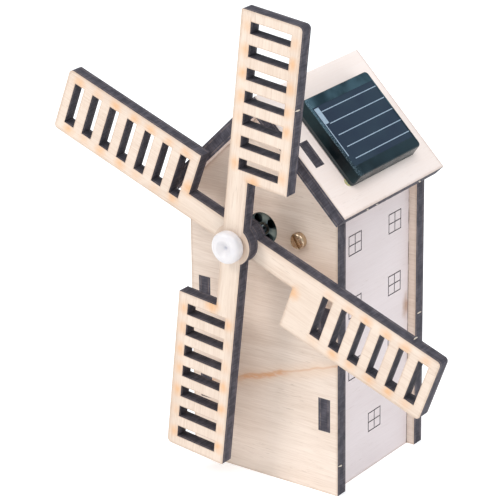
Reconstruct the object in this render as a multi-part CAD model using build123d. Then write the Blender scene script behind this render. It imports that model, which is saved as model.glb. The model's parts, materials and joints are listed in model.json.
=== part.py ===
from build123d import *
import os
from math import cos, hypot, radians, sin, tan

# Solar windmill kit in laser-cut plywood, in millimetres.
# +Z is up, the sails face -Y, and the origin is the middle of the front plate's bottom edge.

# ---------------------------------------------------------------- plywood house
ply = 3.0                       # thickness of every plywood piece
inner_depth = 27.3              # clear depth between the front and back plates
motor_room = 1.7                # free space on each side of the motor, to a side plate
side_inset = 1.9                # side plate's outer face, in from the front plate's edge
roof_pitch = 45.0               # degrees
eave_overhang = 3.4             # roof's top edge, sideways past the front plate
front_overhang = 2.4            # roof past the front plate's front face
rear_overhang = 2.2             # roof past the back plate's back face
apex_above_shaft = 25.5         # gable apex over the shaft
ground_clearance = 4.4          # sail tips over the table

side_tab_length = 7.6
lower_tab_height = 14.4         # bottom of the lower side tabs
upper_tab_drop = 30.4           # bottom of the upper side tabs, down from the side plate's top
roof_tab_start = 13.0           # along the roof's top face, from the ridge
roof_tab_length = 6.2

# Windows engraved in the side plates
window_width = 4.65
window_height = 4.3
window_spacing = 15.3           # between the two columns, centre to centre
windows_off_middle = 0.4        # towards the back plate
window_top_drop = 13.4          # top row's sill, down from the side plate's top
window_row_pitch = 14.2
window_rows = 3
low_window_sill = 8.9           # sill of the single low window
engraved_width = 0.26
engraved_depth = 0.25

# ---------------------------------------------------------------- sails
sail_reach = 51.2               # shaft centre to the end of an arm
spar_width = 5.0
lattice_side = 12.2             # lattice's outer edge, from the spar's centre line
hub_disc_radius = 4.45
slot_count = 7
slot_width = 2.55
slat_width = 2.35
end_rail = 2.2
side_rail = 2.45
lattice_tip_radius = 1.0        # an arm's end corner on the lattice's side
front_spar_tip_radius = 0.3     # an arm's other end corner, on the front bar
back_spar_tip_radius = 0.9      # and on the back bar
front_bar_angle = 83.4          # degrees from +X towards +Z, seen from the front
back_bar_angle = -20.5
uncut_slots = 1                 # innermost slots left uncut in the back bar's first arm
bar_gap = 5.0                   # back bar's back face to the front plate

# ---------------------------------------------------------------- hub cap and shaft
shaft_radius = 1.0
hub_sleeve_radius = 2.0
cap_radius = 3.45
cap_thickness = 3.0
cap_rounding = 1.1
cap_web = 1.9                   # cap's face to the shaft's end
dimple_radius = 1.9             # cone moulded in the cap's face
dimple_depth = 1.2
running_clearance = 0.03        # radial, shaft in its bearings

# ---------------------------------------------------------------- motor
motor_diameter = 24.4
can_length = 10.5
can_wall = 0.8
can_face = 1.0
boss_radius = 3.55
boss_length = 2.6
boss_clearance = 0.1            # radial, boss in the front plate's hole
recess_count = 4                # round recesses in the boss's face
recess_radius = 1.0
recess_offset = 2.4             # from the shaft
recess_depth = 0.8
recess_start = 35.0             # degrees, first recess
bearing_radius = 1.35
end_cap_thickness = 1.8
end_cap_step = 0.3              # end cap's rim, in from the can's outside
plug_length = 0.6
rear_boss_radius = 3.2
rear_boss_length = 1.4
magnet_thickness = 2.0
magnet_arc = 140.0              # degrees
magnet_start = 2.0              # axial places are measured from the can's front face
magnet_length = 7.0
core_radius = 8.8
core_start = 2.6
core_length = 4.0
core_hub_radius = 3.2
pole_count = 3
pole_neck = 2.6
pole_head = 1.6
pole_arc = 96.0                 # degrees
winding_overhang = 0.8
winding_width = 5.6
winding_height = 3.2
commutator_start = 7.5
commutator_length = 2.2
commutator_base_radius = 1.6
commutator_radius = 2.1
segment_arc = 108.0             # degrees
brush_gap = 0.06
brush_thickness = 0.25
brush_width = 1.2
brush_length = 6.6
foot_thickness = 0.3
foot_width = 1.6
terminal_offset = 6.0           # from the shaft, sideways
terminal_thickness = 0.5
terminal_width = 2.0
terminal_reach = 2.5            # out of the end cap

screw_offset = 9.4              # from the shaft
screw_line_angle = -2.6         # degrees from +X towards +Z, line through both screws
screw_radius = 1.0
screw_hole_clearance = 0.15     # radial
screw_head_radius = 1.75
screw_head_height = 1.35
screw_head_rounding = 0.4
screw_slot_width = 0.5
screw_slot_depth = 0.6
screw_slot_angle = -60.0        # degrees from +X towards +Z
screw_tip = 0.5                 # past the can's face, inside

# ---------------------------------------------------------------- solar module
module_from_ridge = 6.0         # along the roof's top face
module_from_tab = 2.7           # module's front edge, back from the front plate's roof tab
module_length = 19.6            # down the slope, at the top
module_width = 23.6             # along the ridge, at the top
module_height = 3.3             # over the roof's top face
module_draft = 0.45             # base beyond the top, on every side
module_corner_radius = 0.9
module_rounding = 0.45          # round the resin's top
adhesive_thickness = 0.2
adhesive_inset = 0.8
squeeze_out_radius = 1.0
board_thickness = 0.7
cell_inset = 2.4                # from the resin's ridge and eave edges
cell_end_inset = 0.7
cell_thickness = 0.3
finger_count = 5
finger_pitch = 2.98
finger_width = 0.2
finger_thickness = 0.04
finger_gap = 1.9                # from the cell's front edge to the fingers' start
busbar_tab_length = 3.9
busbar_tab_width = 1.5
busbar_tab_gap = 0.3            # tab to the cell's ridge edge and front edge
busbar_length = 12.0
busbar_width = 0.26
sprue_radius = 0.4
sprue_reach = 0.8
sprue_offset = 1.6              # from the resin's ridge edge
lead_hole_radius = 2.2
pad_radius = 0.8
pad_thickness = 0.1
lead_spacing = 2.0              # between the two leads at the module

# Leads, with each route's free points chosen by hand
lead_radius = 0.4
lead_exit_run = 3.9             # straight out of the solder, to the first bend
lead_entry_drop = 6.0           # last bend, under the roof's top face
solder_radius = 0.75
solder_length = 1.4
right_route = [(6.2, 25.0, 61.0), (5.4, 23.0, 66.8)]
left_route = [(-4.2, 25.2, 61.0), (0.2, 21.5, 66.6)]

# ---------------------------------------------------------------- derived sizes
half_ply = ply / 2
pitch = radians(roof_pitch)
can_radius = motor_diameter / 2
can_bore = can_radius - can_wall
side_inner = can_radius + motor_room
side_outer = side_inner + ply
house_width = 2 * (side_outer + side_inset)

sail_sweep = hypot(sail_reach, lattice_side)
shaft_height = sail_sweep + ground_clearance
apex_height = shaft_height + apex_above_shaft
ridge_height = apex_height + ply / cos(pitch)
roof_slope = (house_width / 2 + eave_overhang) / cos(pitch)
shoulder_height = apex_height - house_width / 2 * tan(pitch)
side_top = apex_height - side_outer * tan(pitch)
tab_bottoms = (lower_tab_height, side_top - upper_tab_drop)

front_face = -half_ply
inner_front = half_ply
inner_back = inner_front + inner_depth
back_face = inner_back + ply
roof_front = front_face - front_overhang
roof_back = back_face + rear_overhang

back_bar_back = front_face - bar_gap
front_bar_back = back_bar_back - ply
front_bar_front = front_bar_back - ply
cap_front = front_bar_front - cap_thickness

can_front = inner_front
can_rear = can_front + can_length
cap_inside = can_rear - plug_length
end_cap_rear = can_rear + end_cap_thickness
boss_front = can_front - boss_length
terminal_end = end_cap_rear + terminal_reach
solder_end = terminal_end + solder_length
shaft_end = end_cap_rear + rear_boss_length / 2

module_front = inner_front + module_from_tab
module_back = module_front + module_width
module_eave = module_from_ridge + module_length
board_top = adhesive_thickness + board_thickness
cell_ridge = module_from_ridge + cell_inset
cell_eave = module_eave - cell_inset
cell_front = module_front + cell_end_inset
cell_back = module_back - cell_end_inset
finger_bottom = module_height - finger_thickness
cell_bottom = finger_bottom - cell_thickness
lead_hole_slope = module_from_ridge + module_length / 2
lead_hole_y = module_front + module_width / 2


# ---------------------------------------------------------------- helpers
def extrude_y(sketch, y0, y1):
    """Solid of an XZ sketch between two depths."""
    return extrude(Plane.XZ.offset(-y1) * sketch, y1 - y0, dir=(0, -1, 0))


def rod(radius, y0, y1, x=0.0, z=None):
    """Round rod along Y, on the shaft's height unless z is given."""
    height = shaft_height if z is None else z
    return Pos(x, (y0 + y1) / 2, height) * Rot(90, 0, 0) * Cylinder(radius, y1 - y0)


def around_shaft(offset, angle):
    """XZ point at an offset and an angle from the shaft, in degrees."""
    return (offset * cos(radians(angle)), shaft_height + offset * sin(radians(angle)))


def rod_at(radius, y0, y1, offset, angle):
    """Round rod along Y at an offset and an angle from the shaft."""
    x, z = around_shaft(offset, angle)
    return rod(radius, y0, y1, x, z)


def ring(outer, inner, y0, y1):
    """Round tube about the shaft's axis."""
    return rod(outer, y0, y1) - rod(inner, y0, y1)


def block(x0, x1, y0, y1, z0, z1):
    """Box between two corners."""
    centre = Pos((x0 + x1) / 2, (y0 + y1) / 2, (z0 + z1) / 2)
    return centre * Box(abs(x1 - x0), abs(y1 - y0), abs(z1 - z0))


def arc_solid(outer, inner, start, arc, y0, y1):
    """Arc of a ring about the shaft's axis, from a start angle in degrees."""
    sector = Polygon(
        (0, 0),
        *[(2 * outer * cos(radians(start + arc * step / 4)),
           2 * outer * sin(radians(start + arc * step / 4))) for step in range(5)],
        align=None,
    )
    profile = (Circle(outer) - Circle(inner)) & sector
    return extrude_y(Pos(0, shaft_height) * profile, y0, y1)


def roof_point(side, slope, lift):
    """XZ point at a distance down the roof from the ridge and a lift off its top face."""
    x = side * (slope * cos(pitch) + lift * sin(pitch))
    z = ridge_height - slope * sin(pitch) + lift * cos(pitch)
    return (x, z)


def roof_block(side, slope0, slope1, y0, y1, lift0, lift1):
    """Box that lies along the roof."""
    corners = [(slope0, lift0), (slope1, lift0), (slope1, lift1), (slope0, lift1)]
    outline = Polygon(*[roof_point(side, slope, lift) for slope, lift in corners], align=None)
    return extrude_y(outline, y0, y1)


def roof_place(slope, y, lift):
    """Place over the right roof plate, with X down the slope and Z off the plate."""
    x, z = roof_point(1, slope, lift)
    return Pos(x, y, z) * Rot(0, roof_pitch, 0)


def roof_rod(radius, slope, y, lift0, lift1):
    """Round rod square to the right roof plate."""
    return roof_place(slope, y, (lift0 + lift1) / 2) * Cylinder(radius, lift1 - lift0)


def roof_lift(point):
    """Lift of a point off the right roof plate's top face."""
    return point.X * sin(pitch) + (point.Z - ridge_height) * cos(pitch)


# ---------------------------------------------------------------- house
def gable_outline():
    """Front or back plate with its two roof tabs."""
    right = [
        (house_width / 2, shoulder_height),
        roof_point(1, roof_tab_start + roof_tab_length, -ply),
        roof_point(1, roof_tab_start + roof_tab_length, 0),
        roof_point(1, roof_tab_start, 0),
        roof_point(1, roof_tab_start, -ply),
    ]
    left = [(-x, z) for x, z in reversed(right)]
    base = [(-house_width / 2, 0), (house_width / 2, 0)]
    return Polygon(*base, *right, (0, apex_height), *left, align=None)


def side_tab_blocks(side, y0, y1):
    """The two tabs of one side plate between two depths."""
    inner = side * side_inner
    outer = side * side_outer
    tabs = [block(inner, outer, y0, y1, z, z + side_tab_length) for z in tab_bottoms]
    return tabs[0] + tabs[1]


def make_gable(y0):
    plate = extrude_y(gable_outline(), y0, y0 + ply)
    for side in (-1, 1):
        plate -= side_tab_blocks(side, y0, y0 + ply)
    return plate


def make_front_plate():
    plate = make_gable(front_face)
    plate -= rod(boss_radius + boss_clearance, front_face, inner_front)
    for side in (-1, 1):
        hole_radius = screw_radius + screw_hole_clearance
        plate -= rod_at(hole_radius, front_face, inner_front, side * screw_offset,
                        screw_line_angle)
    return plate


def window_cut(side, y, sill):
    """Engraved outline and cross of one window, as cuts in a side plate's outer face."""
    outer = side * side_outer
    floor = side * (side_outer - engraved_depth)
    half_line = engraved_width / 2
    cuts = []
    for step in (-0.5, 0, 0.5):
        z = sill + (0.5 + step) * window_height
        y_line = y + step * window_width
        y0 = y - window_width / 2 - half_line
        y1 = y + window_width / 2 + half_line
        z0 = sill - half_line
        z1 = sill + window_height + half_line
        cuts.append(block(floor, outer, y0, y1, z - half_line, z + half_line))
        cuts.append(block(floor, outer, y_line - half_line, y_line + half_line, z0, z1))
    return cuts


def make_side_plate(side):
    plate = block(side * side_inner, side * side_outer, inner_front, inner_back, 0, side_top)
    plate += side_tab_blocks(side, front_face, inner_front)
    plate += side_tab_blocks(side, inner_back, back_face)
    middle = (inner_front + inner_back) / 2 + windows_off_middle
    places = [(middle, low_window_sill)]
    for row in range(window_rows):
        sill = side_top - window_top_drop - row * window_row_pitch
        places += [(middle - window_spacing / 2, sill), (middle + window_spacing / 2, sill)]
    for y, sill in places:
        for cut in window_cut(side, y, sill):
            plate -= cut
    return plate


def roof_tab_blocks(side):
    """Both gables' tabs through one roof plate."""
    tab_end = roof_tab_start + roof_tab_length
    front = roof_block(side, roof_tab_start, tab_end, front_face, inner_front, -ply, 0)
    back = roof_block(side, roof_tab_start, tab_end, inner_back, back_face, -ply, 0)
    return front + back


def make_roof_right():
    """The longer roof plate, which covers the ridge; the leads pass through it."""
    plate = roof_block(1, 0, roof_slope, roof_front, roof_back, -ply, 0)
    plate -= roof_tab_blocks(1)
    plate -= roof_rod(lead_hole_radius, lead_hole_slope, lead_hole_y, -ply, 0)
    return plate


def make_roof_left():
    """The shorter roof plate, which butts against the underside of the right one."""
    plate = roof_block(-1, 0, roof_slope, roof_front, roof_back, -ply, 0)
    reach = 2 * roof_slope
    plate -= roof_block(1, -reach, reach, roof_front, roof_back, -ply, reach)
    plate -= roof_tab_blocks(-1)
    return plate


# ---------------------------------------------------------------- sails
def sail_arm(slots_left_out, spar_tip_radius):
    """One arm along +X: spar, and a lattice on its clockwise side."""
    lattice_length = 2 * end_rail + slot_count * slot_width + (slot_count - 1) * slat_width
    lattice_start = sail_reach - lattice_length
    spar_side = spar_width / 2
    spar = Pos(sail_reach / 2, 0) * Rectangle(sail_reach, spar_width)
    lattice_middle = (spar_side - lattice_side) / 2
    lattice = Rectangle(lattice_length, spar_side + lattice_side)
    arm = spar + Pos(lattice_start + lattice_length / 2, lattice_middle) * lattice
    lattice_tip = arm.vertices().sort_by_distance((sail_reach, -lattice_side))[0]
    arm = fillet(lattice_tip, lattice_tip_radius)
    spar_tip = arm.vertices().sort_by_distance((sail_reach, spar_side))[0]
    arm = fillet(spar_tip, spar_tip_radius)
    slot_length = spar_side + lattice_side - 2 * side_rail
    for number in range(slots_left_out, slot_count):
        start = lattice_start + end_rail + number * (slot_width + slat_width)
        slot = Rectangle(slot_width, slot_length)
        arm -= Pos(start + slot_width / 2, lattice_middle) * slot
    return arm


def make_sail_bar(angle, y0, slots_left_out, spar_tip_radius):
    """Two opposite arms about the hub disc; only the first arm may have uncut slots."""
    outline = sail_arm(slots_left_out, spar_tip_radius)
    outline += Rot(0, 0, 180) * sail_arm(0, spar_tip_radius)
    outline += Circle(hub_disc_radius)
    outline -= Circle(hub_sleeve_radius)
    return extrude_y(Pos(0, shaft_height) * Rot(0, 0, angle) * outline, y0, y0 + ply)


def make_hub_cap():
    """Nylon bead with a sleeve through both sail bars and a blind bore for the shaft."""
    cap = rod(cap_radius, cap_front, front_bar_front)
    cap = fillet(cap.edges().filter_by(GeomType.CIRCLE), cap_rounding)
    cap += rod(hub_sleeve_radius, front_bar_front, back_bar_back)
    dimple = Cone(0, dimple_radius, dimple_depth)
    cap -= Pos(0, cap_front + dimple_depth / 2, shaft_height) * Rot(90, 0, 0) * dimple
    return cap - rod(shaft_radius, cap_front + cap_web, back_bar_back)


# ---------------------------------------------------------------- motor
def make_motor_can():
    can = rod(can_radius, can_front, can_rear) - rod(can_bore, can_front + can_face, can_rear)
    can += rod(boss_radius, boss_front, can_front)
    can -= rod(bearing_radius, boss_front, can_front + can_face)
    for side in (-1, 1):
        can -= rod_at(screw_radius, can_front, can_front + can_face, side * screw_offset,
                      screw_line_angle)
    for number in range(recess_count):
        angle = recess_start + number * 360 / recess_count
        can -= rod_at(recess_radius, boss_front, boss_front + recess_depth, recess_offset,
                      angle)
    return can


def make_end_cap():
    cap = rod(can_radius - end_cap_step, can_rear, end_cap_rear)
    cap += rod(can_bore, cap_inside, can_rear)
    cap += rod(rear_boss_radius, end_cap_rear, end_cap_rear + rear_boss_length)
    cap -= rod(bearing_radius, cap_inside, shaft_end)
    for side in (-1, 1):
        cap -= terminal_block(side, cap_inside, end_cap_rear)
    return cap


def terminal_block(side, y0, y1):
    x = side * terminal_offset
    half_thickness = terminal_thickness / 2
    half_width = terminal_width / 2
    return block(x - half_thickness, x + half_thickness, y0, y1,
                 shaft_height - half_width, shaft_height + half_width)


def make_terminals():
    return [terminal_block(side, cap_inside, terminal_end) for side in (-1, 1)]


def make_magnets():
    y0 = can_front + magnet_start
    y1 = y0 + magnet_length
    starts = [90 - magnet_arc / 2, 270 - magnet_arc / 2]
    return [arc_solid(can_bore, can_bore - magnet_thickness, start, magnet_arc, y0, y1)
            for start in starts]


def make_brush(side):
    """Leaf spring beside the commutator, on a foot that reaches its terminal."""
    x = side * (commutator_radius + brush_gap)
    y1 = can_front + commutator_start + commutator_length - brush_gap
    leaf = block(x, x + side * brush_thickness, y1 - brush_width, cap_inside,
                 shaft_height - foot_width / 2, shaft_height + brush_length)
    trim_bottom = shaft_height + foot_width / 2
    leaf -= block(x, x + side * brush_thickness, y1, cap_inside, trim_bottom,
                  shaft_height + brush_length)
    foot_end = side * (terminal_offset + terminal_thickness / 2)
    foot = block(x, foot_end, cap_inside - foot_thickness, cap_inside,
                 shaft_height - foot_width / 2, shaft_height + foot_width / 2)
    return leaf + foot


def make_core():
    y0 = can_front + core_start
    y1 = y0 + core_length
    core = rod(core_hub_radius, y0, y1)
    for number in range(pole_count):
        angle = number * 360 / pole_count
        neck = Rot(0, 0, angle) * Pos(core_radius / 2, 0) * Rectangle(core_radius, pole_neck)
        neck = neck & Circle(core_radius - pole_head / 2)
        core += extrude_y(Pos(0, shaft_height) * neck, y0, y1)
        core += arc_solid(core_radius, core_radius - pole_head, angle - pole_arc / 2, pole_arc,
                          y0, y1)
    return core - rod(shaft_radius, y0, y1)


def make_windings():
    """One coil round each pole's neck."""
    y0 = can_front + core_start
    y1 = y0 + core_length
    bottom = core_radius - pole_head - winding_height
    coils = []
    for number in range(pole_count):
        turn = Rot(0, 0, number * 360 / pole_count)
        middle = Pos(bottom + winding_height / 2, 0)
        whole = middle * Rectangle(winding_height, winding_width)
        whole = whole & Circle(core_radius - pole_head)
        neck = Pos(core_radius / 2, 0) * Rectangle(core_radius, pole_neck)
        coil = extrude_y(Pos(0, shaft_height) * turn * whole,
                         y0 - winding_overhang, y1 + winding_overhang)
        coil -= extrude_y(Pos(0, shaft_height) * turn * neck, y0, y1)
        coil -= rod(core_hub_radius, y0, y1)
        coils.append(coil)
    return coils


def make_segments():
    y0 = can_front + commutator_start
    starts = [number * 120 - segment_arc / 2 for number in range(3)]
    return [arc_solid(commutator_radius, commutator_base_radius, start, segment_arc,
                      y0, y0 + commutator_length) for start in starts]


def make_commutator_base():
    y0 = can_front + commutator_start
    return ring(commutator_base_radius, shaft_radius, y0, y0 + commutator_length)


def make_screw(side):
    """Slotted brass screw through the front plate into the can's face."""
    offset = side * screw_offset
    head_front = front_face - screw_head_height
    head = rod_at(screw_head_radius, head_front, front_face, offset, screw_line_angle)
    head = fillet(head.edges().group_by(Axis.Y)[0], screw_head_rounding)
    shank_end = can_front + can_face + screw_tip
    screw = head + rod_at(screw_radius, front_face, shank_end, offset, screw_line_angle)
    slot = Rot(0, 0, screw_slot_angle) * Rectangle(3 * screw_head_radius, screw_slot_width)
    place = Pos(*around_shaft(offset, screw_line_angle))
    return screw - extrude_y(place * slot, head_front, head_front + screw_slot_depth)


# ---------------------------------------------------------------- solar module
def make_adhesive():
    sheet = roof_block(1, module_from_ridge + adhesive_inset, module_eave - adhesive_inset,
                       module_front + adhesive_inset, module_back - adhesive_inset,
                       0, adhesive_thickness)
    sheet += roof_rod(squeeze_out_radius, module_eave - adhesive_inset,
                      module_front, 0, adhesive_thickness)
    return sheet - roof_rod(lead_hole_radius, lead_hole_slope, lead_hole_y,
                            0, adhesive_thickness)


def module_layer(lift0, lift1):
    """Slice of the module, which narrows by its draft towards the top."""
    outlines = []
    for lift in (lift0, lift1):
        spread = 2 * module_draft * (1 - lift / module_height)
        outline = RectangleRounded(module_length + spread, module_width + spread,
                                   module_corner_radius)
        outlines.append(roof_place(lead_hole_slope, lead_hole_y, lift) * outline)
    return loft(outlines)


def make_board():
    return module_layer(adhesive_thickness, board_top)


def make_resin_body():
    """Cast resin block with a rounded top and a recess for the cell."""
    body = module_layer(board_top, module_height)
    top = max(body.faces(), key=lambda face: roof_lift(face.center()))
    body = fillet(top.edges(), module_rounding)
    body -= roof_block(1, cell_ridge, cell_eave, cell_front, cell_back,
                       cell_bottom, module_height)
    sprue_x, sprue_z = roof_point(1, module_from_ridge + sprue_offset, module_height / 2)
    body += rod(sprue_radius, module_back, module_back + sprue_reach, sprue_x, sprue_z)
    return body


def make_cell():
    return roof_block(1, cell_ridge, cell_eave, cell_front, cell_back,
                      cell_bottom, finger_bottom)


def make_fingers():
    """Thin silver lines across the cell."""
    middle = (cell_ridge + cell_eave) / 2
    lines = []
    for number in range(finger_count):
        slope = middle + (number - (finger_count - 1) / 2) * finger_pitch
        lines.append(roof_block(1, slope - finger_width / 2, slope + finger_width / 2,
                                cell_front + finger_gap, cell_back,
                                finger_bottom, module_height))
    return lines


def make_busbar():
    """Wide tab near the ridge with a narrow bar on towards the eave."""
    slope0 = cell_ridge + busbar_tab_gap
    y0 = cell_front + busbar_tab_gap
    tab = roof_block(1, slope0, slope0 + busbar_tab_length, y0, y0 + busbar_tab_width,
                     finger_bottom, module_height)
    return tab + roof_block(1, slope0, slope0 + busbar_length, y0, y0 + busbar_width,
                            finger_bottom, module_height)


def lead_pad_y(side):
    return lead_hole_y + side * lead_spacing / 2


def make_pads():
    return [roof_rod(pad_radius, lead_hole_slope, lead_pad_y(side),
                     adhesive_thickness - pad_thickness, adhesive_thickness)
            for side in (-1, 1)]


# ---------------------------------------------------------------- leads
def make_lead(side, route):
    """Round lead from a motor terminal to a pad, as straight runs joined by arcs."""
    end_x, end_z = roof_point(1, lead_hole_slope, adhesive_thickness - pad_thickness)
    entry_x, entry_z = roof_point(1, lead_hole_slope, -lead_entry_drop)
    pad_y = lead_pad_y(side)
    start = Vector(side * terminal_offset, solder_end, shaft_height)
    points = [start, start + Vector(0, lead_exit_run, 0)]
    points += [Vector(*point) for point in route]
    points += [Vector(entry_x, pad_y, entry_z), Vector(end_x, pad_y, end_z)]
    radii = []
    for before, corner, after in zip(points, points[1:], points[2:]):
        run_in = corner - before
        run_out = after - corner
        turn = radians(run_in.get_angle(run_out))
        radii.append(0.45 * min(run_in.length, run_out.length) / tan(turn / 2))
    path = FilletPolyline(*points, radius=radii)
    profile = Plane(origin=start, z_dir=(0, 1, 0)) * Circle(lead_radius)
    return sweep(profile, path=path)


def make_solder(side):
    return rod(solder_radius, terminal_end, solder_end, side * terminal_offset)


# ---------------------------------------------------------------- parts
nodes = {
    "front_plate": [make_front_plate()],
    "back_plate": [make_gable(inner_back)],
    "side_plate_left": [make_side_plate(-1)],
    "side_plate_right": [make_side_plate(1)],
    "roof_plate_left": [make_roof_left()],
    "roof_plate_right": [make_roof_right()],
    "sail_bar_front": [make_sail_bar(front_bar_angle, front_bar_front, 0,
                                     front_spar_tip_radius)],
    "sail_bar_back": [make_sail_bar(back_bar_angle, front_bar_back, uncut_slots,
                                    back_spar_tip_radius)],
    "hub_cap": [make_hub_cap()],
    "motor_shaft": [rod(shaft_radius, cap_front + cap_web, shaft_end)],
    "motor_can": [make_motor_can()],
    "motor_end_cap": [make_end_cap()],
    "motor_front_bearing": [ring(bearing_radius, shaft_radius + running_clearance,
                                 boss_front, can_front + can_face)],
    "motor_rear_bearing": [ring(bearing_radius, shaft_radius + running_clearance,
                                cap_inside, shaft_end)],
    "motor_magnets": make_magnets(),
    "motor_brushes": [make_brush(-1), make_brush(1)],
    "motor_terminals": make_terminals(),
    "motor_screws": [make_screw(-1), make_screw(1)],
    "armature_core": [make_core()],
    "armature_windings": make_windings(),
    "commutator_base": [make_commutator_base()],
    "commutator_segments": make_segments(),
    "module_adhesive": [make_adhesive()],
    "module_board": [make_board()],
    "module_resin_body": [make_resin_body()],
    "solar_cell": [make_cell()],
    "cell_fingers": make_fingers(),
    "cell_busbar": [make_busbar()],
    "module_pads": make_pads(),
    "lead_red": [make_lead(1, right_route)],
    "lead_black": [make_lead(-1, left_route)],
    "solder_joints": [make_solder(-1), make_solder(1)],
}

os.makedirs("parts", exist_ok=True)
for name, solids in nodes.items():
    export_step(Compound(children=solids), f"parts/{name}.step")
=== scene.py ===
import json
import math
import random

import bmesh
import bpy
from mathutils import Matrix, Vector


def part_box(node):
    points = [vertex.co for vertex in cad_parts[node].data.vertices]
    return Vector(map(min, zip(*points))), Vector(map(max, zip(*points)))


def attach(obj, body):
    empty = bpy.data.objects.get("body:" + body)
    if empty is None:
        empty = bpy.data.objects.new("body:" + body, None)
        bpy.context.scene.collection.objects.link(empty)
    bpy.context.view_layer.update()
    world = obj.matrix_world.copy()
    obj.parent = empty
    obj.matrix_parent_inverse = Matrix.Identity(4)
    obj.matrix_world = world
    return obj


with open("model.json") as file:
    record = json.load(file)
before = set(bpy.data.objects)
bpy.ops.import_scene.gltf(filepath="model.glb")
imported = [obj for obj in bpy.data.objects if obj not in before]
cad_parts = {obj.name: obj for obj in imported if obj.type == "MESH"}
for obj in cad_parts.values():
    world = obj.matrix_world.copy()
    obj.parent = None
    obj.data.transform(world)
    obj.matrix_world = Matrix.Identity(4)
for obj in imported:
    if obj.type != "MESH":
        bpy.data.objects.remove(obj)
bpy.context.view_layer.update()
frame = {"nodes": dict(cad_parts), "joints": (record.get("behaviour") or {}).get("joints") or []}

MM = 0.001
MM_PER_METRE = 1000.0


def in_mm(corners):
    """Lowest and highest corner of a box in metres, in millimetres."""
    return [corner * MM_PER_METRE for corner in corners]


# ---------------------------------------------------------------- places, from the frame
front_low, front_high = in_mm(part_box("front_plate"))
back_low, back_high = in_mm(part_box("back_plate"))
_, side_high = in_mm(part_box("side_plate_right"))
roof_low, roof_high = in_mm(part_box("roof_plate_right"))
front_bar_low, _ = in_mm(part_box("sail_bar_front"))
back_bar_low, _ = in_mm(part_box("sail_bar_back"))
resin_low, resin_high = in_mm(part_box("module_resin_body"))
can_low, _ = in_mm(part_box("motor_can"))
screws_low, screws_high = in_mm(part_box("motor_screws"))

spin = next(joint for joint in frame["joints"] if joint["name"] == "rotor_spin")
shaft = Vector((spin["pos_m"][0], 0, spin["pos_m"][2])) * MM_PER_METRE

ply = front_high.y - front_low.y
half_ply = ply / 2
inner_front = front_high.y
house_half_width = front_high.x
side_outer = side_high.x
side_top = side_high.z
ridge_height = roof_high.z
roof_front = roof_low.y
roof_back = roof_high.y
apex_height = ridge_height - ply * math.sqrt(2)    # of the gable plates

# ---------------------------------------------------------------- sizes, in millimetres
SLOPE = math.sqrt(0.5)              # sine and cosine of the 45 degree roof
ROOF_OUT = Vector((SLOPE, 0, SLOPE))
DOWN_SLOPE = Vector((SLOPE, 0, -SLOPE))
FRONT_BAR_ANGLE = math.radians(83.4)
BACK_BAR_ANGLE = math.radians(-20.5)
SAIL_REACH = 51.2
SPAR_HALF_WIDTH = 2.5
LATTICE_SIDE = 12.2                 # across, from the spar's centre line to the outer rail
LATTICE_START = 14.85               # out from the shaft
SLOT_COUNT = 7
SLOT_MIDDLE = 18.325                # innermost slot's middle, out from the shaft
SLOT_PITCH = 4.9
SLOT_WIDTH = 2.55
SLOT_LENGTH = 9.8
SLOT_ACROSS = -4.85                 # slots' middle, across from the spar's centre line
VENEER = 0.72                       # outer veneer of the plywood
KNOT_HEIGHT = 23.5                  # knot's streak, at the middle of the front plate
KNOT_SLOPE = 0.35
SCORCH_SPOT = (27.8, 33.4)          # Y and Z, on the right side plate
PAINTED_HIGHLIGHT_COUNT = 4               # painted highlights on the motor boss's face, between its recesses
PAINTED_HIGHLIGHT_ANGLE = math.radians(80)    # of one of them, from +X towards +Z
PAINTED_HIGHLIGHT_RADIUS = 2.5            # out from the shaft
SCREW_HEAD_RADIUS = 1.75
TUFT_LEVELS = 4
TUFT_SIDES = 9
TUFT_ROOT = 0.25                    # length inside the wood
TUFT_TAPER = 0.55                   # share of the width lost at the tip
TUFT_RAGGED = 0.3                   # most that a fibre's place strays from its ring


def srgb(red, green, blue):
    """Linear colour from display values of 0 to 255."""
    channels = []
    for value in (red, green, blue):
        value /= 255
        channels.append(value / 12.92 if value <= 0.04045 else ((value + 0.055) / 1.055) ** 2.4)
    return (*channels, 1.0)


# ---------------------------------------------------------------- camera
CAMERA_AIM = Vector((0.14, -6.3, 53.9)) * MM
CAMERA_DISTANCE = 0.551
CAMERA_AZIMUTH = math.radians(35.82)
CAMERA_ELEVATION = math.radians(21.805)
CAMERA_ROLL = math.radians(-0.746)
CAMERA_LENS = 191.18


def direction(azimuth, elevation):
    """Unit vector towards a place round the object; azimuth 0 is in front of it."""
    return Vector((math.sin(azimuth) * math.cos(elevation),
                   -math.cos(azimuth) * math.cos(elevation),
                   math.sin(elevation)))


def make_camera():
    data = bpy.data.cameras.new("camera")
    data.sensor_width = 36.0
    data.lens = CAMERA_LENS
    camera = bpy.data.objects.new("camera", data)
    bpy.context.scene.collection.objects.link(camera)
    towards = direction(CAMERA_AZIMUTH, CAMERA_ELEVATION)
    upright = towards.to_track_quat("Z", "Y").to_matrix().to_4x4()
    place = Matrix.Translation(CAMERA_AIM + towards * CAMERA_DISTANCE)
    camera.matrix_world = place @ upright @ Matrix.Rotation(CAMERA_ROLL, 4, "Z")
    bpy.context.scene.camera = camera


make_camera()


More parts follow.
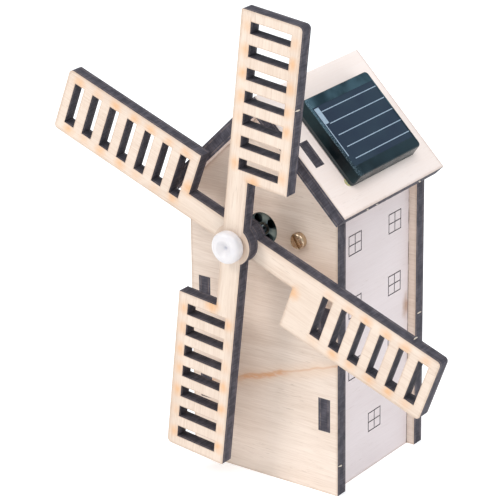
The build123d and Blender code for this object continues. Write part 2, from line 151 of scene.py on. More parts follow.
# ---------------------------------------------------------------- shader arithmetic
class Field:
    """A number that varies over a surface. Arithmetic on it adds shader nodes."""

    def __init__(self, shader, socket):
        self.shader = shader
        self.socket = socket

    def math(self, operation, *others):
        node = self.shader.nodes.new("ShaderNodeMath")
        node.operation = operation
        for place, value in enumerate((self, *others)):
            self.shader.connect(value, node.inputs[place])
        return Field(self.shader, node.outputs[0])

    def __add__(self, other):
        return self.math("ADD", other)

    def __sub__(self, other):
        return self.math("SUBTRACT", other)

    def __mul__(self, other):
        return self.math("MULTIPLY", other)

    def __truediv__(self, other):
        return self.math("DIVIDE", other)

    def __pow__(self, other):
        return self.math("POWER", other)

    def __neg__(self):
        return self.math("MULTIPLY", -1.0)

    def __abs__(self):
        return self.math("ABSOLUTE")

    def least(self, other):
        return self.math("MINIMUM", other)

    def most(self, other):
        return self.math("MAXIMUM", other)

    def rise(self, low, high):
        """0 below low, 1 above high, and smooth between them; low may be over high."""
        node = self.shader.nodes.new("ShaderNodeMapRange")
        node.interpolation_type = "SMOOTHSTEP"
        self.shader.connect(self, node.inputs["Value"])
        swapped = low > high
        node.inputs["From Min"].default_value = min(low, high)
        node.inputs["From Max"].default_value = max(low, high)
        node.inputs["To Min"].default_value = 1.0 if swapped else 0.0
        node.inputs["To Max"].default_value = 0.0 if swapped else 1.0
        return Field(self.shader, node.outputs["Result"])

    def near(self, place, reach):
        """1 at a place, falling smoothly to 0 at the reach each side of it."""
        return abs(self - place).rise(reach, 0.0)

    def rest(self):
        """What is left of 1."""
        return -self + 1.0

    def ripple(self, pitch):
        """Even waves of 0 to 1, one to each pitch."""
        return (self * (2 * math.pi / pitch)).math("SINE") * 0.5 + 0.5


class Shader:
    """A procedural material in object coordinates, in millimetres."""

    def __init__(self, name, **constants):
        self.material = bpy.data.materials.new(name)
        self.material.use_nodes = True
        self.tree = self.material.node_tree
        self.nodes = self.tree.nodes
        self.surface = self.nodes["Principled BSDF"]
        for socket, value in constants.items():
            self.surface.inputs[socket.replace("_", " ")].default_value = value
        coordinates = self.nodes.new("ShaderNodeTexCoord")
        self.normal = coordinates.outputs["Normal"]
        scaled = self.nodes.new("ShaderNodeVectorMath")
        scaled.operation = "SCALE"
        scaled.inputs["Scale"].default_value = MM_PER_METRE
        self.tree.links.new(coordinates.outputs["Object"], scaled.inputs[0])
        self.place = scaled.outputs[0]

    def connect(self, value, socket):
        if isinstance(value, Field):
            self.tree.links.new(value.socket, socket)
        elif isinstance(value, bpy.types.NodeSocket):
            self.tree.links.new(value, socket)
        else:
            socket.default_value = value

    def share(self, vector, axis):
        """How much of a vector is along an axis."""
        node = self.nodes.new("ShaderNodeVectorMath")
        node.operation = "DOT_PRODUCT"
        self.connect(vector, node.inputs[0])
        node.inputs[1].default_value = axis
        return Field(self, node.outputs["Value"])

    def along(self, axis, origin=(0, 0, 0)):
        """Distance along an axis from an origin."""
        distance = self.share(self.place, axis)
        offset = Vector(axis).dot(Vector(origin))
        return distance - offset if offset else distance

    def facing(self, axis):
        """1 where the surface faces along an axis, and -1 where it faces the other way."""
        return self.share(self.normal, axis)

    def about(self, centre):
        """Distances from a centre along X and Z, and the radius about its axis along Y."""
        x = self.along((1, 0, 0), centre)
        z = self.along((0, 0, 1), centre)
        return x, z, (x * x + z * z) ** 0.5

    def vector(self, x, y, z=0.0):
        """A vector of fields or numbers."""
        node = self.nodes.new("ShaderNodeCombineXYZ")
        for value, socket in zip((x, y, z), node.inputs):
            self.connect(value, socket)
        return node.outputs[0]

    def noise(self, vector, scale=1.0, detail=2.0, roughness=0.5):
        """Noise of 0 to 1 about a middle of one half."""
        node = self.nodes.new("ShaderNodeTexNoise")
        self.connect(vector, node.inputs["Vector"])
        node.inputs["Scale"].default_value = scale
        node.inputs["Detail"].default_value = detail
        node.inputs["Roughness"].default_value = roughness
        return Field(self, node.outputs["Fac"])

    def clouds(self, scale, detail=2.0, roughness=0.5):
        """Noise at the object's own places."""
        return self.noise(self.place, scale, detail, roughness)

    def cells(self, scale):
        """Distance to the nearest of scattered points."""
        node = self.nodes.new("ShaderNodeTexVoronoi")
        self.connect(self.place, node.inputs["Vector"])
        node.inputs["Scale"].default_value = scale
        return Field(self, node.outputs["Distance"])

    def blend(self, amount, first, second):
        """Colour that goes from the first to the second as the amount goes from 0 to 1."""
        node = self.nodes.new("ShaderNodeMix")
        node.data_type = "RGBA"
        self.connect(amount, node.inputs["Factor"])
        self.connect(first, node.inputs[6])
        self.connect(second, node.inputs[7])
        return node.outputs[2]

    def finish(self, colour, roughness, height, depth):
        """Connects the surface; depth is in millimetres, for a height of 0 to 1."""
        self.connect(colour, self.surface.inputs["Base Color"])
        self.connect(roughness, self.surface.inputs["Roughness"])
        bump = self.nodes.new("ShaderNodeBump")
        bump.inputs["Strength"].default_value = 1.0
        bump.inputs["Distance"].default_value = depth * MM
        self.connect(height, bump.inputs["Height"])
        self.tree.links.new(bump.outputs[0], self.surface.inputs["Normal"])
        return self.material


def dress(node, material):
    """Gives a CAD node its material."""
    mesh = frame["nodes"][node].data
    mesh.materials.clear()
    mesh.materials.append(material)


# ---------------------------------------------------------------- plywood
EDGE_DARK = srgb(56, 54, 62)
EDGE_LIGHT = srgb(102, 98, 107)
EDGE_VENEER = srgb(134, 118, 108)
GLUE_LINE = srgb(44, 38, 44)
SCORCH = srgb(220, 158, 88)
SMOKE = srgb(170, 142, 120)
PORE = srgb(150, 124, 104)


class Sheet:
    """A plywood piece's own axes: along the grain, across it, and out of its face."""

    def __init__(self, shader, grain, out, origin):
        grain = Vector(grain)
        out = Vector(out)
        self.u = shader.along(grain, origin)
        self.v = shader.along(out.cross(grain), origin)
        self.w = shader.along(out, origin)
        self.facing = abs(shader.facing(out))


def veneer_face(shader, sheet, light, dark, figure):
    """Colour, relief and fine figure of the veneer, with short dark pores along its grain."""
    u, v, w = sheet.u, sheet.v, sheet.w
    warp = (shader.noise(shader.vector(u * 0.03, v * 0.09, 3.0), detail=1.0) - 0.5) * 2.2
    wavy = v + warp
    broad = shader.noise(shader.vector(u * 0.035, wavy * 0.5, w * 0.2), detail=3.0)
    fine = shader.noise(shader.vector(u * 0.16, wavy * 4.5, w), detail=4.0, roughness=0.65)
    pores = shader.noise(shader.vector(u * 0.38, wavy * 5.0, w), detail=1.0)
    pores_here = shader.noise(shader.vector(u * 0.05, v * 0.12, 9.0), detail=2.0).rise(0.42, 0.62)
    dashes = pores.rise(0.66, 0.76) * (pores_here * 0.85 + 0.15)
    cloud = shader.noise(shader.vector(u * 0.045, v * 0.07, w), detail=2.0)

    streaks = (broad - 0.5) * 0.6 + (fine - 0.5) * 1.3
    tone = streaks * figure + (cloud - 0.5) * 0.8 + 0.4
    colour = shader.blend(tone.rise(0.0, 1.0), light, dark)
    colour = shader.blend(dashes * (0.34 * figure), colour, PORE)
    relief = fine * 0.5 + broad * 0.3 - dashes * 0.7
    return colour, relief, fine


def burnt_edge(shader, sheet):
    """Colour and relief of a laser-cut edge: char, glue lines and scraped outer veneers."""
    u, v, w = sheet.u, sheet.v, sheet.w
    beam = shader.noise(shader.vector(u * 3.4, v * 3.4, w * 0.3), detail=3.0)
    patches = shader.noise(shader.vector(u * 0.5, v * 0.5, w * 0.8), detail=2.0)
    glue_place = half_ply - VENEER
    core = abs(w).rise(glue_place + 0.12, glue_place - 0.12)
    glue_line = abs(w).near(glue_place, 0.1)
    veneer_line = abs(w).near(glue_place + 0.2, 0.12)
    char = (beam - 0.5) * 0.8 + (patches - 0.5) * 0.9 + 0.44 - core * 0.12
    colour = shader.blend(char.rise(0.0, 1.0), EDGE_DARK, EDGE_LIGHT)
    colour = shader.blend(glue_line * 0.5, colour, GLUE_LINE)
    scraped = patches.rise(0.36, 0.56) * 0.5 + 0.12
    colour = shader.blend(veneer_line * scraped, colour, EDGE_VENEER)
    return colour, beam * 1.1 - glue_line * 0.8


def plywood(name, grain, out, origin, light, dark, rim, marks=None, figure=1.0):
    """Laser-cut birch plywood. The origin is on the sheet's middle plane.

    rim gives the distance to the cut outline, for the smoke stain along it, marks returns
    stains as pairs of a mask and a colour, painted over the faces, and figure is how
    strongly the grain shows.
    """
    shader = Shader(name, Specular_IOR_Level=0.25)
    sheet = Sheet(shader, grain, out, origin)
    face, face_relief, fine = veneer_face(shader, sheet, light, dark, figure)
    rim_distance = rim(sheet) + (shader.clouds(0.6) - 0.5) * 0.5
    face = shader.blend(rim_distance.rise(0.7, 0.0) * 0.4, face, SMOKE)
    for mask, colour in (marks(shader, sheet) if marks else []):
        face = shader.blend(mask, face, colour)

    edge, edge_relief = burnt_edge(shader, sheet)
    cut = sheet.facing.rise(0.75, 0.45)
    height = face_relief * cut.rest() + edge_relief * cut
    roughness = (fine - 0.5) * 0.12 + cut * 0.14 + 0.62
    return shader.finish(shader.blend(cut, face, edge), roughness, height, 0.02)


def rectangle_rim(u0, u1, v0, v1):
    """Distance in from the nearest edge of a rectangle in a sheet's own axes."""
    def rim(sheet):
        return (sheet.u - u0).least(-(sheet.u - u1)).least(sheet.v - v0).least(-(sheet.v - v1))
    return rim


def gable_rim(sheet):
    """Distance in from the nearest edge of a gable plate, with u across and v up or down."""
    across = -(abs(sheet.u) - house_half_width)
    up = abs(sheet.v)
    slope = -(abs(sheet.u) + up - apex_height) * SLOPE
    return across.least(up).least(slope)


def front_marks(shader, sheet):
    """The streak of a knot across the lower half, with a soft halo."""
    x = shader.along((1, 0, 0))
    z = shader.along((0, 0, 1))
    wander = (shader.noise(shader.vector(x * 0.16, 0.0, 2.0), detail=2.0) - 0.5) * 2.6
    off = z - KNOT_HEIGHT - x * KNOT_SLOPE - wander
    body = off.near(0.0, 1.15) * x.rise(8.0, 3.0) * x.rise(-9.0, -4.0)
    broken = shader.noise(shader.vector(x * 0.55, z * 2.4, 4.0), detail=3.0).rise(0.36, 0.6)
    line = off.near(0.35, 0.42)
    return [(off.near(0.0, 3.0) * 0.25, srgb(222, 180, 144)),
            (body * (broken * 0.6 + 0.4) * 0.8, srgb(214, 152, 104)),
            (line * 0.55, srgb(208, 162, 126))]


def side_marks(shader, sheet):
    """Burnt window lines, and a scorch spot by the back edge."""
    x = shader.along((1, 0, 0))
    y = shader.along((0, 1, 0))
    z = shader.along((0, 0, 1))
    right_plate = x.rise(0.0, 1.0)
    sunk = -(abs(x) - side_outer)
    groove = sunk.rise(0.04, 0.12) * sunk.rise(0.6, 0.4)
    spot_y, spot_z = SCORCH_SPOT
    from_spot = ((y - spot_y) ** 2.0 + ((z - spot_z) * 0.5) ** 2.0) ** 0.5
    spot = (from_spot + shader.clouds(0.9) * 1.2).rise(2.7, 0.6)
    joint = y.rise(back_low.y - 0.32, back_low.y - 0.12)
    uneven = shader.noise(shader.vector(0.0, y, z * 0.35), detail=3.0).rise(0.35, 0.55)
    return [(spot * right_plate * 0.75, srgb(168, 128, 96)),
            (joint * (uneven * 0.6 + 0.35), srgb(84, 70, 68)),
            (groove * 0.3, srgb(190, 172, 166))]


def sail_axes(sheet):
    """Distance out from the hub and across the arm, alike for both arms of a bar."""
    return abs(sheet.u), sheet.v * sheet.u.math("SIGN")


def nearest_slot(sheet, out, first_slots):
    """Number of the nearest slot, and the distance out from that slot's middle.

    first_slots holds the number of the innermost slot in each arm, positive arm first.
    """
    positive = sheet.u.rise(-0.01, 0.01)
    first = positive * (first_slots[0] - first_slots[1]) + first_slots[1]
    number = ((out - SLOT_MIDDLE) / SLOT_PITCH).math("ROUND").most(first).least(SLOT_COUNT - 1.0)
    return number, out - SLOT_MIDDLE - number * SLOT_PITCH


def sail_rim(first_slots):
    """Distance in from the outline of the spar, the lattice and its slots."""
    def rim(sheet):
        out, side = sail_axes(sheet)
        lattice = (out - LATTICE_START).least(side + LATTICE_SIDE)
        outline = lattice.most(side + SPAR_HALF_WIDTH)
        outline = outline.least(-(side - SPAR_HALF_WIDTH)).least(-(out - SAIL_REACH))
        _, from_slot = nearest_slot(sheet, out, first_slots)
        slot = (abs(from_slot) - SLOT_WIDTH / 2).most(abs(side - SLOT_ACROSS) - SLOT_LENGTH / 2)
        return outline.least(slot * 2.0)
    return rim


def sail_marks(first_slots):
    """Scorch glows in the rails at both ends of each slot, no two alike."""
    def marks(shader, sheet):
        out, side = sail_axes(sheet)
        number, from_slot = nearest_slot(sheet, out, first_slots)
        arm = sheet.u.math("SIGN") * 9.0
        glows = []
        for end, seed in ((-1, 2.0), (1, 7.0)):
            rail = SLOT_ACROSS + end * (SLOT_LENGTH / 2 + 0.9)
            luck = shader.noise(shader.vector(number * 3.7, arm, seed), detail=0.0)
            drift = shader.noise(shader.vector(number * 2.9, arm, seed + 20.0), detail=0.0) - 0.5
            ragged = shader.clouds(0.7, detail=3.0)
            along = (from_slot - drift * 2.4) * 0.8
            across = side - rail
            distance = (along * along + across * across) ** 0.5 + ragged * 1.4
            glow = distance.rise(2.6, 0.5) * (luck.rise(0.25, 0.6) * 0.75 + 0.25)
            glows.append((glow * 0.6, SCORCH))
        corner = ((out - LATTICE_START - 0.6) ** 2.0 + ((side + 3.6) * 0.8) ** 2.0) ** 0.5
        patch = (corner + shader.clouds(0.6) * 1.6).rise(3.0, 0.8)
        glows.append((patch * 0.55, SCORCH))
        return glows
    return marks


def dress_plywood():
    gable_light, gable_dark = srgb(231, 215, 202), srgb(207, 186, 170)
    dress("front_plate", plywood(
        "plywood_front", (1, 0, 0), (0, -1, 0), (0, 0, 0),
        gable_light, gable_dark, gable_rim, front_marks))
    dress("back_plate", plywood(
        "plywood_back", (1, 0, 0), (0, 1, 0), (0, back_low.y + half_ply, 0),
        gable_light, gable_dark, gable_rim))

    # The sides' cooler, darker tone is partly the sheets' own and partly painted shade for the
    # cooler light they get.
    side_light, side_dark = srgb(224, 214, 215), srgb(210, 197, 197)
    for hand, side in (("right", 1), ("left", -1)):
        middle = ((side_outer - half_ply) * side, 0, 0)
        ends = sorted((front_low.y * side, back_high.y * side))
        dress("side_plate_" + hand, plywood(
            "plywood_side_" + hand, (0, side, 0), (side, 0, 0), middle,
            side_light, side_dark, rectangle_rim(*ends, 0, side_top), side_marks, figure=0.5))

    # The roof's lighter tone is partly the sheets' own and partly painted light on its upward
    # slopes.
    roof_light, roof_dark = srgb(248, 236, 231), srgb(240, 221, 211)
    slope_length = roof_high.x / SLOPE
    for node, side in (("roof_plate_right", 1), ("roof_plate_left", -1)):
        out = Vector((side * SLOPE, 0, SLOPE))
        middle = Vector((0, 0, ridge_height)) - out * half_ply
        grain = Vector((0, side, 0))
        ends = sorted((roof_front * side, roof_back * side))
        dress(node, plywood(
            "ply" + node, grain, out, middle, roof_light, roof_dark,
            rectangle_rim(*ends, -slope_length, slope_length), figure=0.4))

    sail_light, sail_dark = srgb(224, 207, 192), srgb(201, 178, 160)
    bars = (("sail_bar_front", FRONT_BAR_ANGLE, front_bar_low, (0.0, 0.0)),
            ("sail_bar_back", BACK_BAR_ANGLE, back_bar_low, (1.0, 0.0)))
    for node, angle, low, first_slots in bars:
        middle = (0, low.y + half_ply, shaft.z)
        grain = (math.cos(angle), 0, math.sin(angle))
        dress(node, plywood(
            "plywood_" + node, grain, (0, -1, 0), middle,
            sail_light, sail_dark, sail_rim(first_slots), sail_marks(first_slots)))


def torn_fibres():
    """Unburnt wood, torn along its fibres."""
    shader = Shader("torn_wood", Specular_IOR_Level=0.2)
    fibres = shader.clouds(5.0, detail=3.0, roughness=0.7)
    colour = shader.blend(fibres, srgb(214, 196, 176), srgb(250, 242, 230))
    return shader.finish(colour, fibres * 0.2 + 0.6, fibres, 0.05)


# ---------------------------------------------------------------- metals
def turned_metal(name, colour, dark, centre, pitch, roughness, depth):
    """Metal with fine turning rings about an axis along Y."""
    shader = Shader(name, Metallic=1.0)
    radius = shader.about(centre)[2]
    wobble = shader.clouds(1.5, detail=3.0)
    rings = (radius * (2 * math.pi / pitch) + wobble).math("SINE") * 0.5 + 0.5
    stain = shader.clouds(0.8, detail=4.0, roughness=0.6)
    tint = shader.blend(stain.rise(0.4, 0.75) * 0.6, colour, dark)
    return shader.finish(tint, stain * 0.2 + roughness, rings, depth)


def plain_metal(name, colour, dark, roughness):
    """Metal with soft stains and a fine rolled surface."""
    shader = Shader(name, Metallic=1.0)
    x = shader.along((1, 0, 0))
    y = shader.along((0, 1, 0))
    z = shader.along((0, 0, 1))
    rolled = shader.noise(shader.vector(x * 9.0, y * 1.2, z * 9.0), 2.0, detail=3.0)
    stain = shader.clouds(0.7, detail=4.0, roughness=0.6)
    tint = shader.blend(stain.rise(0.35, 0.75) * 0.7, colour, dark)
    return shader.finish(tint, rolled * 0.12 + stain * 0.15 + roughness, rolled, 0.004)


def motor_can_metal():
    """Plated steel; the boss's face is painted darker as painted shade, with painted highlights
    between its recesses, and the wall inside the hole is painted near black as painted shade.
    """
    shader = Shader("plated_can", Metallic=1.0)
    x, z, radius = shader.about(shaft)
    y = shader.along((0, 1, 0))
    turn = z.math("ARCTAN2", x) - PAINTED_HIGHLIGHT_ANGLE
    between = (turn * PAINTED_HIGHLIGHT_COUNT).math("COSINE").rise(-0.1, 0.7)
    painted_highlight = between * radius.near(PAINTED_HIGHLIGHT_RADIUS, 1.5)
    stain = shader.clouds(0.5, detail=4.0, roughness=0.6)
    brushed = shader.noise(shader.vector(x * 1.5, y, z * 9.0))
    plating = shader.blend(stain.rise(0.35, 0.7), srgb(128, 138, 138), srgb(92, 102, 102))
    boss_face = (y - can_low.y).rise(0.08, 0.03)
    # Painted shade: the can's wall forward of the front plate's back face, inside its hole, is
    # painted near black.
    hole_shade = (y - inner_front).rise(-0.05, -0.4) * boss_face.rest()
    colour = shader.blend(hole_shade, plating, srgb(34, 44, 46))
    # The boss's face is painted mid-grey as painted shade, with painted highlights in the spots
    # between its recesses.
    boss_shade_and_highlights = shader.blend(painted_highlight, srgb(70, 82, 84), srgb(142, 156, 152))
    colour = shader.blend(boss_face, colour, boss_shade_and_highlights)
    roughness = stain * 0.2 + brushed * 0.1 + 0.24
    return shader.finish(colour, roughness, brushed, 0.006)


def laminated_steel():
    """Stack of thin core plates."""
    shader = Shader("core_steel", Metallic=1.0)
    y = shader.along((0, 1, 0))
    plates = y.ripple(0.35).rise(0.0, 0.2)
    scale = shader.clouds(1.2, detail=4.0)
    colour = shader.blend(scale.rise(0.35, 0.7), srgb(150, 150, 154), srgb(96, 92, 92))
    return shader.finish(colour, scale * 0.3 + 0.3, plates, 0.03)


def enamelled_windings():
    """Fine enamelled copper wire, turn beside turn."""
    shader = Shader("copper_wire", Metallic=0.9, Coat_Weight=0.6, Coat_Roughness=0.15)
    x, z, radius = shader.about(shaft)
    y = shader.along((0, 1, 0))
    slack = (shader.clouds(0.8, detail=2.0) - 0.5) * 0.2
    turns = (radius + slack).ripple(0.22)
    layers = shader.noise(shader.vector(x * 0.6, y * 3.0, z * 0.6), detail=2.0)
    # Painted shade: each turn is painted lighter on its crest and darker in the groove between
    # turns.
    colour = shader.blend(turns * 0.6 + layers * 0.4, srgb(96, 40, 22), srgb(205, 118, 66))
    return shader.finish(colour, layers * 0.1 + 0.28, turns, 0.05)


def sintered_bronze():
    shader = Shader("bronze_bearing", Metallic=1.0)
    pores = shader.cells(6.0).rise(0.1, 0.35)
    oil = shader.clouds(1.0, detail=3.0)
    colour = shader.blend(pores, srgb(30, 28, 26), srgb(66, 62, 54))
    return shader.finish(colour, oil * 0.25 + 0.3, pores, 0.015)


def polished_steel():
    """Ground shaft with fine marks round it."""
    shader = Shader("polished_steel", Metallic=1.0)
    y = shader.along((0, 1, 0))
    marks = shader.noise(shader.vector(0.0, y * 18.0, 0.0), detail=4.0, roughness=0.7)
    smear = shader.clouds(1.2, detail=2.0)
    colour = shader.blend(smear.rise(0.35, 0.7), srgb(196, 201, 212), srgb(138, 146, 164))
    return shader.finish(colour, marks * 0.2 + 0.14, marks, 0.003)


def solder_metal():
    shader = Shader("solder", Metallic=1.0)
    flow = shader.clouds(1.6, detail=3.0)
    frost = shader.clouds(9.0, detail=2.0)
    colour = shader.blend(flow, srgb(206, 208, 212), srgb(150, 152, 158))
    return shader.finish(colour, frost * 0.3 + 0.18, flow + frost * 0.3, 0.08)


# ---------------------------------------------------------------- plastics, resin and the rest
def moulded_plastic(name, colour, shade, roughness, texture_scale, depth):
    """Moulded plastic with a faint sparked texture and handling marks."""
    shader = Shader(name)
    texture = shader.clouds(texture_scale, detail=3.0)
    handling = shader.clouds(0.35, detail=3.0)
    tint = shader.blend(handling.rise(0.35, 0.7), colour, shade)
    return shader.finish(tint, handling * 0.15 + roughness, texture, depth)


def white_nylon():
    """Turned nylon: faint rings on its face, and painted cool shade in its dimple."""
    shader = Shader("white_nylon", Subsurface_Weight=0.35, Subsurface_Scale=0.0012,
                    Subsurface_Radius=(1.0, 0.95, 0.9), Coat_Weight=0.15, Coat_Roughness=0.3)
    radius = shader.about(shaft)[2]
    rings = radius.ripple(0.5)
    cloud = shader.clouds(0.6, detail=3.0)
    in_front = (shader.along((0, 1, 0)) - front_bar_low.y).rise(0.0, -0.5)
    colour = shader.blend(cloud.rise(0.4, 0.75) * 0.4, srgb(214, 210, 211), srgb(202, 200, 205))
    # Painted shade: the dimple is painted a cool grey-blue, darkest at its middle.
    dimple = (radius + cloud * 0.5).rise(0.95, 0.35) * in_front
    colour = shader.blend(dimple * 0.45, colour, srgb(140, 150, 176))
    return shader.finish(colour, cloud * 0.15 + 0.32, rings, 0.006)


def cast_resin():
    """Glossy dark resin, partly cloudy, with the slow waves of a hand-cast surface; its colour
    carries painted light, shade, reflection and glints.
    """
    shader = Shader("cast_resin", Coat_Weight=0.05, Coat_Roughness=0.05, Specular_IOR_Level=0.1)
    waves = shader.clouds(0.16, detail=1.0)
    ripple = shader.clouds(0.7, detail=2.0)
    tint = shader.clouds(0.13, detail=3.0)
    upward = shader.facing(ROOF_OUT).rise(0.5, 0.95)
    # Painted light and shade: the upward face is painted lighter than the sides. The broad tint
    # is partly cloudy resin and partly painted reflection.
    shaded_walls = shader.blend(tint.rise(0.35, 0.65), srgb(10, 18, 22), srgb(34, 50, 54))
    face = shader.blend(tint.rise(0.35, 0.65), srgb(22, 44, 54), srgb(58, 84, 96))
    # Painted reflection: the top is painted lighter towards the ridge and darker down the slope
    # towards the eave.
    from_middle = shader.along(DOWN_SLOPE, (resin_low + resin_high) / 2)
    face = shader.blend(from_middle.rise(-4.0, 8.0) * 0.75, face, srgb(18, 32, 38))
    colour = shader.blend(upward, shaded_walls, face)
    down = shader.along(DOWN_SLOPE)
    y = shader.along((0, 1, 0))
    # Pale painted glints on the top, near the front edge.
    painted_glints = shader.noise(shader.vector(down * 1.6, y * 3.0), detail=3.0).near(0.5, 0.03)
    near_front = (y - resin_low.y).rise(2.6, 0.4)
    colour = shader.blend(painted_glints * near_front * upward * 0.6, colour, srgb(150, 180, 196))
    return shader.finish(colour, ripple * 0.1 + 0.14, waves + ripple * 0.12, 0.25)


def silicon_cell():
    """Blue cell under a gloss skin, with a faint fine texture."""
    shader = Shader("silicon", Coat_Weight=0.3, Coat_Roughness=0.05, Specular_IOR_Level=0.2)
    grains = shader.clouds(1.8, detail=3.0, roughness=0.6)
    sweep = shader.clouds(0.12, detail=2.0)
    waves = shader.clouds(0.18, detail=1.0)
    colour = shader.blend(sweep.rise(0.3, 0.7), srgb(16, 37, 60), srgb(26, 48, 66))
    colour = shader.blend(grains.rise(0.5, 0.8) * 0.03, colour, srgb(60, 92, 122))
    return shader.finish(colour, grains * 0.03 + 0.25, waves, 0.12)


def printed_silver():
    shader = Shader("silver_lines", Metallic=0.35, Coat_Weight=1.0, Coat_Roughness=0.05)
    grain = shader.clouds(2.5, detail=3.0)
    colour = shader.blend(grain, srgb(122, 148, 172), srgb(196, 216, 234))
    return shader.finish(colour, grain * 0.2 + 0.3, grain, 0.01)


def circuit_board():
    """Black board with its glass weave just showing."""
    shader = Shader("board_black")
    y = shader.along((0, 1, 0))
    down = shader.along(DOWN_SLOPE)
    weave = (y * 9.0).math("SINE") * (down * 9.0).math("SINE")
    cloud = shader.clouds(0.5, detail=3.0)
    colour = shader.blend(cloud, srgb(34, 40, 44), srgb(52, 60, 62))
    return shader.finish(colour, cloud * 0.2 + 0.45, weave, 0.01)


def amber_glue():
    """Clear yellow glue with trapped bubbles."""
    shader = Shader("amber_adhesive", Coat_Weight=0.8, Coat_Roughness=0.08,
                    Subsurface_Weight=0.3, Subsurface_Scale=0.0006, Transmission_Weight=0.25)
    cloud = shader.clouds(1.2, detail=3.0)
    bubbles = shader.cells(3.0).rise(0.12, 0.05)
    colour = shader.blend(cloud, srgb(226, 220, 176), srgb(192, 186, 138))
    colour = shader.blend(bubbles * 0.6, colour, srgb(240, 232, 190))
    return shader.finish(colour, cloud * 0.15 + 0.12, cloud + bubbles * 0.4, 0.06)


def vinyl(name, colour, shade):
    """Soft insulation with a faint drawn surface."""
    shader = Shader(name, Coat_Weight=0.3, Coat_Roughness=0.25, Subsurface_Weight=0.05,
                    Subsurface_Scale=0.0004)
    drawn = shader.clouds(2.5, detail=3.0)
    scuff = shader.clouds(0.8, detail=3.0)
    tint = shader.blend(scuff.rise(0.4, 0.75), colour, shade)
    return shader.finish(tint, drawn * 0.15 + 0.34, drawn, 0.01)


def dress_motor():
    screw_head_middle = (screws_high.x - SCREW_HEAD_RADIUS, 0, screws_low.z + SCREW_HEAD_RADIUS)
    black = moulded_plastic("black_plastic", srgb(44, 44, 47), srgb(30, 30, 33),
                            roughness=0.42, texture_scale=5.0, depth=0.012)
    dress("hub_cap", white_nylon())
    dress("motor_shaft", polished_steel())
    dress("motor_can", motor_can_metal())
    dress("motor_end_cap", black)
    dress("commutator_base", black)
    bronze = sintered_bronze()
    dress("motor_front_bearing", bronze)
    dress("motor_rear_bearing", bronze)
    dress("motor_magnets", moulded_plastic(
        "ferrite", srgb(74, 74, 77), srgb(56, 56, 58),
        roughness=0.55, texture_scale=7.0, depth=0.03))
    dress("motor_brushes", plain_metal(
        "spring_brass", srgb(226, 190, 118), srgb(176, 136, 76), 0.24))
    tinned = plain_metal("tinned_brass", srgb(214, 214, 212), srgb(168, 166, 160), 0.26)
    dress("motor_terminals", tinned)
    dress("module_pads", tinned)
    dress("motor_screws", turned_metal(
        "screw_brass", srgb(214, 194, 168), srgb(164, 138, 118), screw_head_middle,
        pitch=0.16, roughness=0.16, depth=0.012))
    dress("armature_core", laminated_steel())
    dress("armature_windings", enamelled_windings())
    dress("commutator_segments", turned_metal(
        "commutator_copper", srgb(222, 138, 96), srgb(140, 76, 48), shaft,
        pitch=0.2, roughness=0.2, depth=0.01))


def dress_module():
    dress("module_adhesive", amber_glue())
    dress("module_board", circuit_board())
    dress("module_resin_body", cast_resin())
    dress("solar_cell", silicon_cell())
    silver = printed_silver()
    dress("cell_fingers", silver)
    dress("cell_busbar", silver)
    dress("lead_red", vinyl("insulation_red", srgb(196, 34, 28), srgb(168, 22, 20)))
    dress("lead_black", vinyl("insulation_black", srgb(38, 38, 40), srgb(24, 24, 26)))
    dress("solder_joints", solder_metal())


# ---------------------------------------------------------------- torn wood
def splinter(name, body, root, lean, across, length, width, thickness, seed):
    """Pale tuft of torn fibres where a bridge held the piece in its sheet.

    It stands on the root, leans out along one direction and is widest along the other.
    """
    draw = random.Random(seed)
    lean = Vector(lean).normalized()
    across = Vector(across).normalized()
    through = lean.cross(across)
    form = bmesh.new()
    rings = []
    for level in range(TUFT_LEVELS):
        out = level / (TUFT_LEVELS - 1)
        ring = []
        for step in range(TUFT_SIDES):
            turn = 2 * math.pi * step / TUFT_SIDES
            ragged = 1 + draw.uniform(-TUFT_RAGGED, TUFT_RAGGED)
            spread = (1 - TUFT_TAPER * out) * ragged
            reach = length * (out + out * draw.uniform(-0.45, 0.25)) - TUFT_ROOT * (1 - out)
            place = (root + lean * reach
                     + across * (math.cos(turn) * width / 2 * spread)
                     + through * (math.sin(turn) * thickness / 2 * spread))
            ring.append(form.verts.new(place * MM))
        rings.append(ring)
    for lower, upper in zip(rings, rings[1:]):
        for step in range(TUFT_SIDES):
            following = (step + 1) % TUFT_SIDES
            form.faces.new((lower[step], lower[following], upper[following], upper[step]))
    form.faces.new(list(reversed(rings[0])))
    form.faces.new(rings[-1])
    bmesh.ops.recalc_face_normals(form, faces=form.faces)
    mesh = bpy.data.meshes.new(name)
    form.to_mesh(mesh)
    form.free()
    mesh.materials.append(torn_wood)
    piece = bpy.data.objects.new(name, mesh)
    bpy.context.scene.collection.objects.link(piece)
    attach(piece, body)


def on_bar(angle, low, out, side, depth):
    """Place on a sail bar's edge, and the direction out of that edge."""
    along = Vector((math.cos(angle), 0, math.sin(angle)))
    across = Vector((0, -1, 0)).cross(along)
    place = Vector((0, low.y + depth, shaft.z)) + along * out + across * side
    return place, across * math.copysign(1, side)


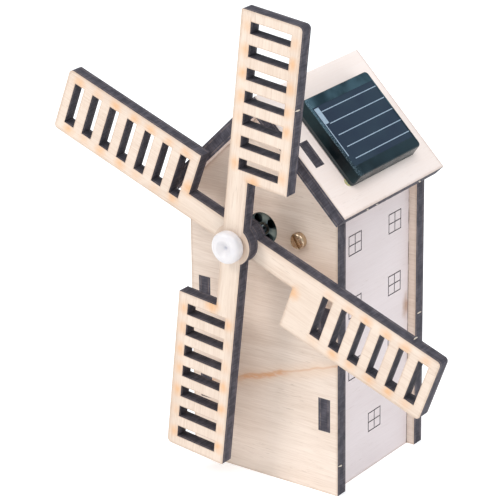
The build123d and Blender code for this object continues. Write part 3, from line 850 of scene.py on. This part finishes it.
def make_torn_wood():
    back = (0, 1, 0)
    right = (1, 0, 0)
    # name, bar's angle and front, then out from the shaft, across the arm and into the sheet
    bars = (("tuft_up_arm", FRONT_BAR_ANGLE, front_bar_low, 33.5, -LATTICE_SIDE, 0.9),
            ("tuft_right_arm", BACK_BAR_ANGLE, back_bar_low, 43.2, SPAR_HALF_WIDTH, 2.3))
    for seed, (name, angle, low, out, side, depth) in enumerate(bars):
        root, lean = on_bar(angle, low, out, side, depth)
        splinter(name, "rotor", root, lean, back, 0.35, 1.8, 0.3, seed)
    # name, then Y and Z on a gable plate's right edge
    plates = (("tuft_front_plate", front_low.y + 0.9, 6.9),
              ("tuft_back_plate", back_low.y + 1.4, 31.3))
    for seed, (name, y, z) in enumerate(plates, start=10):
        root = Vector((house_half_width, y, z))
        splinter(name, "house", root, right, back, 0.3, 1.8, 0.3, seed)
    eave_top = Vector((roof_high.x, 0, ridge_height - roof_high.x))
    middle_of_end = eave_top - ROOF_OUT * half_ply
    for number, y in enumerate((6.0, 9.6, 26.0), start=1):
        root = middle_of_end + Vector((0, y, 0))
        splinter("tuft_eave_%d" % number, "house", root, DOWN_SLOPE, back, 0.25, 0.9, 0.5, number)


dress_plywood()
dress_motor()
dress_module()
torn_wood = torn_fibres()
make_torn_wood()


# ---------------------------------------------------------------- studio
FLOOR_HALF_SIZE = 4.0               # metres


def make_floor():
    mesh = bpy.data.meshes.new("floor")
    form = bmesh.new()
    bmesh.ops.create_grid(form, x_segments=2, y_segments=2, size=FLOOR_HALF_SIZE)
    form.to_mesh(mesh)
    form.free()
    floor = bpy.data.objects.new("floor", mesh)
    floor.location = (0, 0, front_low.z * MM)
    bpy.context.scene.collection.objects.link(floor)
    material = bpy.data.materials.new("floor_paper")
    material.use_nodes = True
    surface = material.node_tree.nodes["Principled BSDF"]
    surface.inputs["Base Color"].default_value = (0.93, 0.93, 0.94, 1.0)
    surface.inputs["Roughness"].default_value = 0.8
    surface.inputs["Specular IOR Level"].default_value = 0.1
    surface.inputs["Emission Color"].default_value = (1.0, 1.0, 1.0, 1.0)
    surface.inputs["Emission Strength"].default_value = 0.35
    mesh.materials.append(material)


def make_light(name, azimuth, elevation, distance, size, power, colour):
    """Square lamp that faces the camera's aim; angles are in degrees."""
    data = bpy.data.lights.new(name, "AREA")
    data.size = size
    data.energy = power
    data.color = colour
    light = bpy.data.objects.new(name, data)
    towards = direction(math.radians(azimuth), math.radians(elevation))
    light.location = CAMERA_AIM + towards * distance
    light.rotation_euler = towards.to_track_quat("Z", "Y").to_euler()
    bpy.context.scene.collection.objects.link(light)


def make_studio():
    make_floor()
    world = bpy.data.worlds.new("studio")
    bpy.context.scene.world = world
    world.use_nodes = True
    background = world.node_tree.nodes["Background"]
    background.inputs["Color"].default_value = (0.91, 0.98, 1.0, 1.0)
    background.inputs["Strength"].default_value = 0.61
    make_light("key", azimuth=-34, elevation=42, distance=1.2, size=0.4, power=6.4,
               colour=(1.0, 0.97, 0.95))
    make_light("fill", azimuth=58, elevation=62, distance=1.4, size=1.0, power=10.0,
               colour=(0.975, 0.955, 0.97))
    bpy.context.scene.view_settings.view_transform = "Standard"


make_studio()
